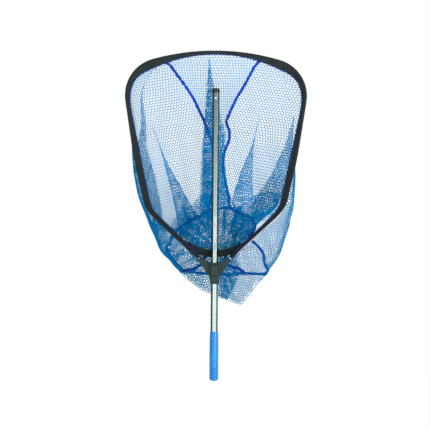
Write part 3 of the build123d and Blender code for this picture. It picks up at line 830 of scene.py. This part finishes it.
class Bag:
    """The bag's surfaces, and tests for the parts of them that each panel of netting covers. A plain
    cloth goes round the bag from each side. The upper cloth adds the long folds to its back."""

    def __init__(self):
        """Sections at every level, the cloths through them, and the upper tapes laid on them."""
        self.levels = np.arange(BAG_LOW, BAG_HIGH, LEVEL_STEP)
        self.high_levels = self.levels[self.levels > DROOP_LOW]
        self.rims = rim_lines(self.levels)
        self.x, self.y, _ = bag_sections(self.levels, False)
        self.last = last = self.x.shape[1] - 1
        self.sides = (SIDE_STATION, last - SIDE_STATION)
        self.left, self.right = (Cloth(self.levels, self.x, self.y, side) for side in self.sides)
        behind = slice(SIDE_STATION, -SIDE_STATION)
        self.back = Cloth(self.levels, self.x[:, behind], self.y[:, behind], None)
        low = self.levels < FRONT_HIGH
        around = [2, 1, 0, last, last - 1, last - 2]
        self.front = Cloth(self.levels[low], self.x[low][:, around], self.y[low][:, around], None)
        folded_x, folded_y, self.outermost = bag_sections(self.high_levels, True)
        self.folded_last = folded_x.shape[1] - 1 - RIM_STATIONS
        self.upper = Cloth(self.high_levels, folded_x, folded_y, RIM_STATIONS + 2 * (CENTRE_FOLD + 1))
        self.upper_tapes, self.tape_flats = {}, {}
        for side, points in (("left", TAPE_UPPER_LEFT), ("right", TAPE_UPPER_RIGHT)):
            line = rounded(points)
            found = np.array([crossing(self.upper, x, z) for x, z in line])
            self.tape_flats[side] = (line[::-1, 1], found[::-1, 0])
            depths = smooth(found[:, 1], 2.0) - TAPE_LIFT
            self.upper_tapes["tape_upper_" + side] = np.stack([line[:, 0], depths, line[:, 1]], 1)

    def tape_flat(self, side, height):
        """The upper cloth's flat coordinate along an upper tape."""
        return np.interp(height, *self.tape_flats[side])

    def upper_flat(self, p, part):
        """The flat coordinate of points on the upper cloth, found again from their stations."""
        row = np.round((p[:, 2] - self.high_levels[0]) / LEVEL_STEP).astype(int)
        row = np.clip(row, 0, len(self.high_levels) - 1)
        flat = np.empty(len(p))
        for level in np.unique(row):
            on = ~np.isnan(self.upper.part[level])
            here = row == level
            flat[here] = np.interp(part[here], self.upper.part[level][on], self.upper.across[on])
        return flat

    def between_tapes(self, flat, height):
        """Flat coordinates of the end panel, END_WIDE across, fitted between the two upper tapes."""
        low, high = self.tape_flat("left", height), self.tape_flat("right", height)
        return low + (flat / END_WIDE + 0.5) * (high - low)

    def in_hoop(self, p):
        """Whether points at the top of the bag lie behind the hoop's opening or its hem."""
        left, right = (np.interp(p[:, 2], self.levels, rim) + HEM_COVER for rim in self.rims)
        return (p[:, 2] < TOP_WIDE) | ((p[:, 0] > -left) & (p[:, 0] < right))

    def on_upper(self, panel):
        """A test for the part of the upper cloth left of, right of or between the upper tapes."""
        def keep(p, part):
            on = (part >= RIM_STATIONS) & (part <= self.folded_last) & (over(p, DROOP_LINE) > 0)
            flat = self.upper_flat(p, part)
            left = flat < self.tape_flat("left", p[:, 2])
            right = ~left & (flat > self.tape_flat("right", p[:, 2]))
            return on & {"left": left, "right": right, "end": ~left & ~right}[panel] & self.in_hoop(p)
        return keep

    def on_side(self, sign):
        """A test for the part of a plain cloth that the left (-1) or right (1) panel covers."""
        def keep(p, part):
            on_back = (part > self.sides[0]) & (part < self.sides[1])
            crease = np.interp(p[:, 2], self.high_levels, self.outermost[0 if sign < 0 else 1])
            beside = (sign * p[:, 0] > sign * crease) | (over(p, SEAM_LINE) <= 0)
            above_floor = ~inside(p, FLOOR_OUTLINE) & (p[:, 2] > FLOOR_LOW)
            back_part = beside & above_floor & (sign * p[:, 0] > 0)
            front_part = (over(p, LOWER_LINE) >= 0) & (sign * (part - self.last / 2) > 0)
            return np.where(on_back, back_part, front_part) & self.in_hoop(p)
        return keep

    def edge(self, station):
        """The doubled cords along the bag's outline below the hoop."""
        low = self.levels < EDGE_HIGH
        line = np.stack([self.x[low, station], self.y[low, station], self.levels[low]], 1)
        line = crumple(line, BACK_PHASE)
        return np.stack([line[:-1], line[1:]], axis=1)

    def spare(self, outline, *layers):
        """Layers of spare netting in an outline, each some way in front of the back and turned."""
        return [lattice(self.back, lambda p, part: inside(p, outline), gap, turn) - [0, gap, 0]
                for gap, turn in layers]


def fuller(middle):
    """More netting in the same width further down, spread from the panel's middle."""
    def fit(flat, height):
        fullness = 1 + FULL_EXTRA * np.clip((FULL_BELOW - height) / FULL_OVER, 0, 1)
        return middle + (flat - middle) / fullness
    return fit


def on_floor(p, part):
    """A test for the part of the back that the bottom panel covers."""
    return inside(p, FLOOR_OUTLINE)


def on_low_back(p, part):
    """A test for the part of the back that the yoke panel covers."""
    return (p[:, 2] < FLOOR_LOW + FLOOR_OVERLAP) & ~inside(p, FLOOR_OUTLINE)


def on_low_front(p, part):
    """A test for the part of the front that the yoke panel covers."""
    return over(p, LOWER_LINE) < 0


def make_netting(bag, material):
    """The five panels of netting, each one piece of open cords."""
    bottom = {"down_by": BOTTOM_BUNCH}
    full_left, full_right = fuller(FULL_MIDDLE_LEFT), fuller(FULL_MIDDLE_RIGHT)
    panels = {
        "netting_end": ("bag_end_panel", [
            lattice(bag.upper, bag.on_upper("end"), BACK_PHASE, fit=bag.between_tapes, **bottom),
            *bag.spare(SPARE_CENTRE, (4, 6), (7, -8)),
            *bag.spare(SPARE_RIGHT, (4, 12), (7, -5)),
            *bag.spare(SPARE_COLUMN, (10, 22), (12, -14)),
        ]),
        "netting_left": ("bag_left_panel", [
            lattice(bag.upper, bag.on_upper("left"), BACK_PHASE, 9, fit=full_left, **bottom),
            lattice(bag.left, bag.on_side(-1), BACK_PHASE, 9, across_by=LEFT_BUNCH, **bottom),
            *bag.spare(SPARE_LEFT, (4, 15), (8, -10)),
            *bag.spare(SPARE_OUTER, (4, 9), (8, -20)),
        ]),
        "netting_right": ("bag_right_panel", [
            lattice(bag.upper, bag.on_upper("right"), BACK_PHASE, -7, fit=full_right, **bottom),
            lattice(bag.right, bag.on_side(1), BACK_PHASE, -7),
            *bag.spare(SPARE_SIDE, (4, 14), (8, -12)),
        ]),
        "netting_floor": ("bag_bottom_panel", [
            lattice(bag.back, on_floor, BACK_PHASE, 18, across_by=FLOOR_BUNCH),
        ]),
        "netting_yoke": ("bag_yoke_panel", [
            lattice(bag.front, on_low_front, FRONT_PHASE, 4, across_by=FRONT_BUNCH),
            lattice(bag.back, on_low_back, BACK_PHASE, -9, across_by=LOW_BUNCH),
            *bag.spare(SPARE_LOW, (4, 12), (8, -24), (11, 30)),
            *bag.spare(SPARE_LOW_LEFT, (5, 20)),
            *bag.spare(SPARE_YOKE, (4, -16), (9, 11)),
            *(bag.edge(station) for station in bag.sides),
        ]),
    }
    for name, (node, parts) in panels.items():
        segments = np.concatenate(parts)
        obj = piece(name, *cords(segments, CORD_SIDE), material, "net_cord")
        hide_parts(node)


def make_tapes(bag, material):
    """The four seam tapes and the bottom panel's piping, in front of the netting."""
    lines = dict(bag.upper_tapes)
    for name, cloth, line in (
        ("tape_lower_left", bag.front, rounded(TAPE_LOWER_LEFT)),
        ("tape_lower_right", bag.front, rounded(TAPE_LOWER_RIGHT)),
        ("piping_floor", bag.back, rounded(FLOOR_OUTLINE, closed=True)),
    ):
        found, _ = cloth.at(line[:, 0], line[:, 1])
        lines[name] = found - [0, TAPE_LIFT, 0]
    for name, line in lines.items():
        line = line[~np.isnan(line).any(axis=1)]
        line = crumple(line, FRONT_PHASE if "lower" in name else BACK_PHASE)
        obj, length = binding(name, line, TAPE_HALF, material, "seam_tape")
        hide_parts("bottom_piping" if name == "piping_floor" else "seam_" + name)


# ---------------------------------------------------------------- hem

def hem_lines():
    """Even steps along the hem, with the hoop's middle, the way inwards and the flap's reach at each."""
    sleeve, flap = node_tree("net_hem"), node_tree("hem_flap")
    centres, edges = [], []
    for turn in np.linspace(-HEM_TURN, HEM_TURN, HEM_RAYS):
        out = Vector((math.sin(turn), 0, math.cos(turn)))
        near = hit(sleeve, HUB, out)
        far = hit(sleeve, Vector(HUB) + out * FAR, -out)
        if near is None or far is None:
            continue
        centre = (near + far) / 2
        edge = hit(flap, HUB, out)
        if edge is None or (edge - centre).length < HEM_RADIUS + 1:
            edge = centre - out * (HEM_RADIUS + FLAP_LEAST)
        centres.append(centre)
        edges.append(edge)
    centres, edges = centres[HEM_FRAYED:-HEM_FRAYED], edges[HEM_FRAYED:-HEM_FRAYED]
    first_tuck = (centres[0] - centres[TUCK_AIM]).normalized() * HEM_TUCK
    last_tuck = (centres[-1] - centres[-1 - TUCK_AIM]).normalized() * HEM_TUCK
    centres = np.array([centres[0] + first_tuck, *centres, centres[-1] + last_tuck])
    edges = np.array([edges[0] + first_tuck, *edges, edges[-1] + last_tuck])
    lengths = np.concatenate([[0], np.cumsum(np.linalg.norm(np.diff(centres, axis=0), axis=1))])
    even = np.arange(0, lengths[-1], HEM_STEP)
    centres, edges = (
        np.stack([smooth(np.interp(even, lengths, points[:, n]), 2.0) for n in range(3)], 1)
        for points in (centres, edges)
    )
    run = unit(np.gradient(centres, axis=0))
    inwards = unit(np.cross(run, [0.0, 1.0, 0.0]))
    inwards *= np.sign((inwards * (edges - centres)).sum(axis=1))[:, None]
    reach = (inwards * (edges - centres)).sum(axis=1)
    return even, centres, inwards, smooth(reach, 4.0)


def make_hem(fabric, thread):
    """The hem: a front and a rear strip that meet on the hoop's outside and along the flap."""
    even, centres, inwards, reach = hem_lines()
    count = len(even)
    ragged = 0.7 * np.sin(even / 2.3) * np.sin(even / 7.7) + 0.5 * np.sin(even / 1.7 + 1)
    reach = reach + ragged - HEM_INSET
    right_low = (centres[:, 0] > BARE_BEYOND) & (centres[:, 2] < BARE_BELOW)
    bare = smooth(np.where(right_low, BARE_TURN, 0.0), 4.0)
    puff = 0.25 * np.sin(even / 11) + 0.2 * np.sin(even / 4.3 + 2 * np.sin(even / 31))
    rows = []
    for side in (-1, 1):
        profile = []
        for share in FLAP_SHARES:
            flap_in = FLAP_FOOT + (reach - FLAP_FOOT) * share
            profile.append((flap_in, side * (FLAP_HALF + FLAP_SWELL * (1 - share) + 0.2 * puff)))
        for share in np.linspace(0.2, 1, 11):
            angle = math.pi * share * (1 - bare / math.pi)
            radius = HEM_RADIUS + 0.5 * puff * (1 - share)
            profile.append((radius * np.cos(angle), side * radius * np.sin(angle)))
        rows.append(np.stack([
            centres + inwards * a[:, None] + np.outer(np.broadcast_to(d, count), [0, 1, 0])
            for a, d in profile
        ], axis=1))
    across = rows[0].shape[1]
    faces = grid_faces(count, across)
    vertices = np.concatenate([r.reshape(-1, 3) for r in rows])
    faces = np.concatenate([faces[:, ::-1], faces + count * across])
    obj = piece("hem_sleeve", vertices, faces, fabric, "hem_fabric", smooth_shade=True)
    thicken(obj, HEM_THICK, -1.0)
    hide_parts("net_hem", "hem_flap")
    make_stitches(centres, inwards, reach, thread)
    make_band(fabric)


def make_stitches(centres, inwards, reach, thread):
    """Thread sewn over the flap's edge, on both its sides."""
    marks = []
    for n in range(STITCH_MARGIN, len(centres) - STITCH_MARGIN):
        edge = centres[n] + inwards[n] * (reach[n] + STITCH_OUT)
        foot = centres[n] + inwards[n] * max(reach[n] - STITCH_IN, HEM_RADIUS)
        slip = (centres[n + 1] - centres[n]) * 0.5
        for side in (-1, 1):
            edge_lift, foot_lift = [0, side * STITCH_EDGE_LIFT, 0], [0, side * STITCH_FOOT_LIFT, 0]
            marks.append((edge + edge_lift, foot + slip + foot_lift))
    piece("hem_stitches", *cords(np.array(marks), STITCH_SIDE), thread, "seam_tape")


def make_band(fabric):
    """The folded band that sags behind the handle."""
    low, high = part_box("hem_bridge")
    half = high.x / MM
    x = np.arange(-half, half + 1, 3.0)
    middle = low.z / MM + BRIDGE_WIDE / 2 + BRIDGE_RISE * (x / half) ** 2
    deepest = high.y / MM - BAND_INSET
    out = np.clip((np.abs(x) - BAND_MIDDLE) / (half - BAND_MIDDLE), 0, 1)
    depth = deepest + (BAND_ENDS - deepest) * out ** BAND_BEND
    line = np.stack([x, depth, middle], 1)
    band, length = binding("hem_band", line, BRIDGE_WIDE / 2, fabric, "hem_fabric",
                           ruffle=0.35, depth=0.7, thick=0.5)
    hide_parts("hem_bridge")


def make_painted_button_shade(material):
    """A dark sheet laid on the yoke's front round the button: painted shade that stands for the shade in
    the gap there.
    """
    yoke = node_tree("yoke_front")
    middle, half = face_on("lock_button")
    points = []
    for out in (SHADE_GAP_INNER, SHADE_GAP_OUTER):
        for side_x, side_z in SQUARE:
            x = middle[0] + side_x * (half[0] + out)
            z = middle[1] + side_z * (half[1] + out)
            front = hit(yoke, (x, -FAR, z), (0, 1, 0))
            points.append((x, front.y - SHADE_GAP_LIFT, z))
    piece("button_gap_painted_shade", points, SLEEVE_FACES, material, "yoke_plastic")


def make_label_marks(red, blue):
    """Two plain patches on the handle's label."""
    middle, half = face_on("handle_label")
    front = hit(node_tree("handle_label"), (middle[0], -FAR, middle[1]), (0, 1, 0)).y - MARK_LIFT
    for name, (bottom, top, share), material in (
        ("label_patch_red", RED_MARK, red),
        ("label_patch_blue", BLUE_MARK, blue),
    ):
        points = [(middle[0] + side * share * half[0], front, bottom if end < 0 else top)
                  for side, end in SQUARE]
        piece(name, points, [(0, 1, 2, 3)], material, "label_film", body="handle")


# ---------------------------------------------------------------- the whole object

def dress(material, *names):
    """A material for CAD nodes that keep their own shapes."""
    for name in names:
        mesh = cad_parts[name].data
        mesh.materials.clear()
        mesh.materials.append(material)


def dress_cad():
    """The metals and plastics of the handle, the yoke and the hoop."""
    dress(shade("drawn_aluminium", (0.19, 0.25, 0.235), (0.215, 0.275, 0.26), 0.2,
                scale=(900, 900, 12), bump_mm=0.006, metal=1.0, rough_spread=0.03), "handle_tube")
    dress(shade("bright_aluminium", (0.72, 0.73, 0.74), (0.85, 0.86, 0.87), 0.28,
                scale=500, bump_mm=0.02, metal=1.0), "hoop_tube")
    dress(shade("black_cap_plastic", (0.008, 0.010, 0.010), (0.02, 0.022, 0.022), 0.4,
                scale=1400, bump_mm=0.03, specular=0.25), "end_cap")
    dress(shade("blue_vinyl", (0.0, 0.20, 0.62), (0.0, 0.30, 0.80), 0.3,
                scale=500, bump_mm=0.03, coat=0.15, specular=0.35), "grip")
    dress(shade("pale_label_film", (0.34, 0.45, 0.43), (0.42, 0.53, 0.50), 0.35,
                scale=300, bump_mm=0.01), "handle_label")
    dress(shade("moulded_yoke_plastic", (0.004, 0.018, 0.019), (0.014, 0.034, 0.035), 0.5,
                scale=1600, bump_mm=0.05, specular=0.3), "yoke_front", "yoke_rear")
    dress(shade("moulded_button_plastic", (0.003, 0.014, 0.015), (0.011, 0.028, 0.029), 0.45,
                scale=1600, bump_mm=0.05, specular=0.3), "lock_button")
    dress(shade("spring_steel", (0.45, 0.46, 0.48), (0.62, 0.63, 0.65), 0.3,
                scale=400, bump_mm=0.02, metal=1.0),
          "lower_snap_leaf", "upper_snap_leaf", "lower_snap_pin", "upper_snap_pin", "button_springs")
    dress(shade("blackened_screw_steel", (0.03, 0.032, 0.034), (0.07, 0.072, 0.075), 0.4,
                scale=400, bump_mm=0.02, metal=1.0), "yoke_screws", "arm_screws")


def make_soft_pieces():
    """The hem, its thread and the bag, in fabric."""
    tape = shade("navy_binding_tape", (0.0, 0.018, 0.18), (0.001, 0.045, 0.36), 0.8,
                 scale=700, bump_mm=0.2, kind="weave", specular=0.15)
    hem = shade("black_hem_canvas", (0.003, 0.007, 0.008), (0.011, 0.017, 0.019), 0.8,
                scale=900, bump_mm=0.25, kind="weave", sheen=0.06, specular=0.2)
    cord = shade("twisted_nylon_cord", (0.0, 0.18, 0.60), (0.0, 0.325, 0.88), 0.7,
                 scale=900, bump_mm=0.1, specular=0.05, see_through=0.45, tint=(0.0, 0.80, 0.52))
    make_hem(hem, tape)
    bag = Bag()
    make_netting(bag, cord)
    make_tapes(bag, tape)


def make_marks():
    """The painted shade round the button and the label's patches."""
    # Painted shade: a near-black sheet that stands for the shade in the gap round the button
    gap = shade("button_gap_shadow", (0.001, 0.002, 0.002), (0.003, 0.004, 0.004), 0.9,
                scale=400, bump_mm=0.01, specular=0.0)
    red = shade("faded_red_ink", (0.42, 0.20, 0.19), (0.52, 0.28, 0.27), 0.4,
                scale=300, bump_mm=0.01)
    blue = shade("faded_blue_ink", (0.05, 0.24, 0.36), (0.09, 0.32, 0.44), 0.4,
                 scale=300, bump_mm=0.01)
    make_painted_button_shade(gap)
    make_label_marks(red, blue)


make_camera()
make_studio()
dress_cad()
make_marks()
make_soft_pieces()
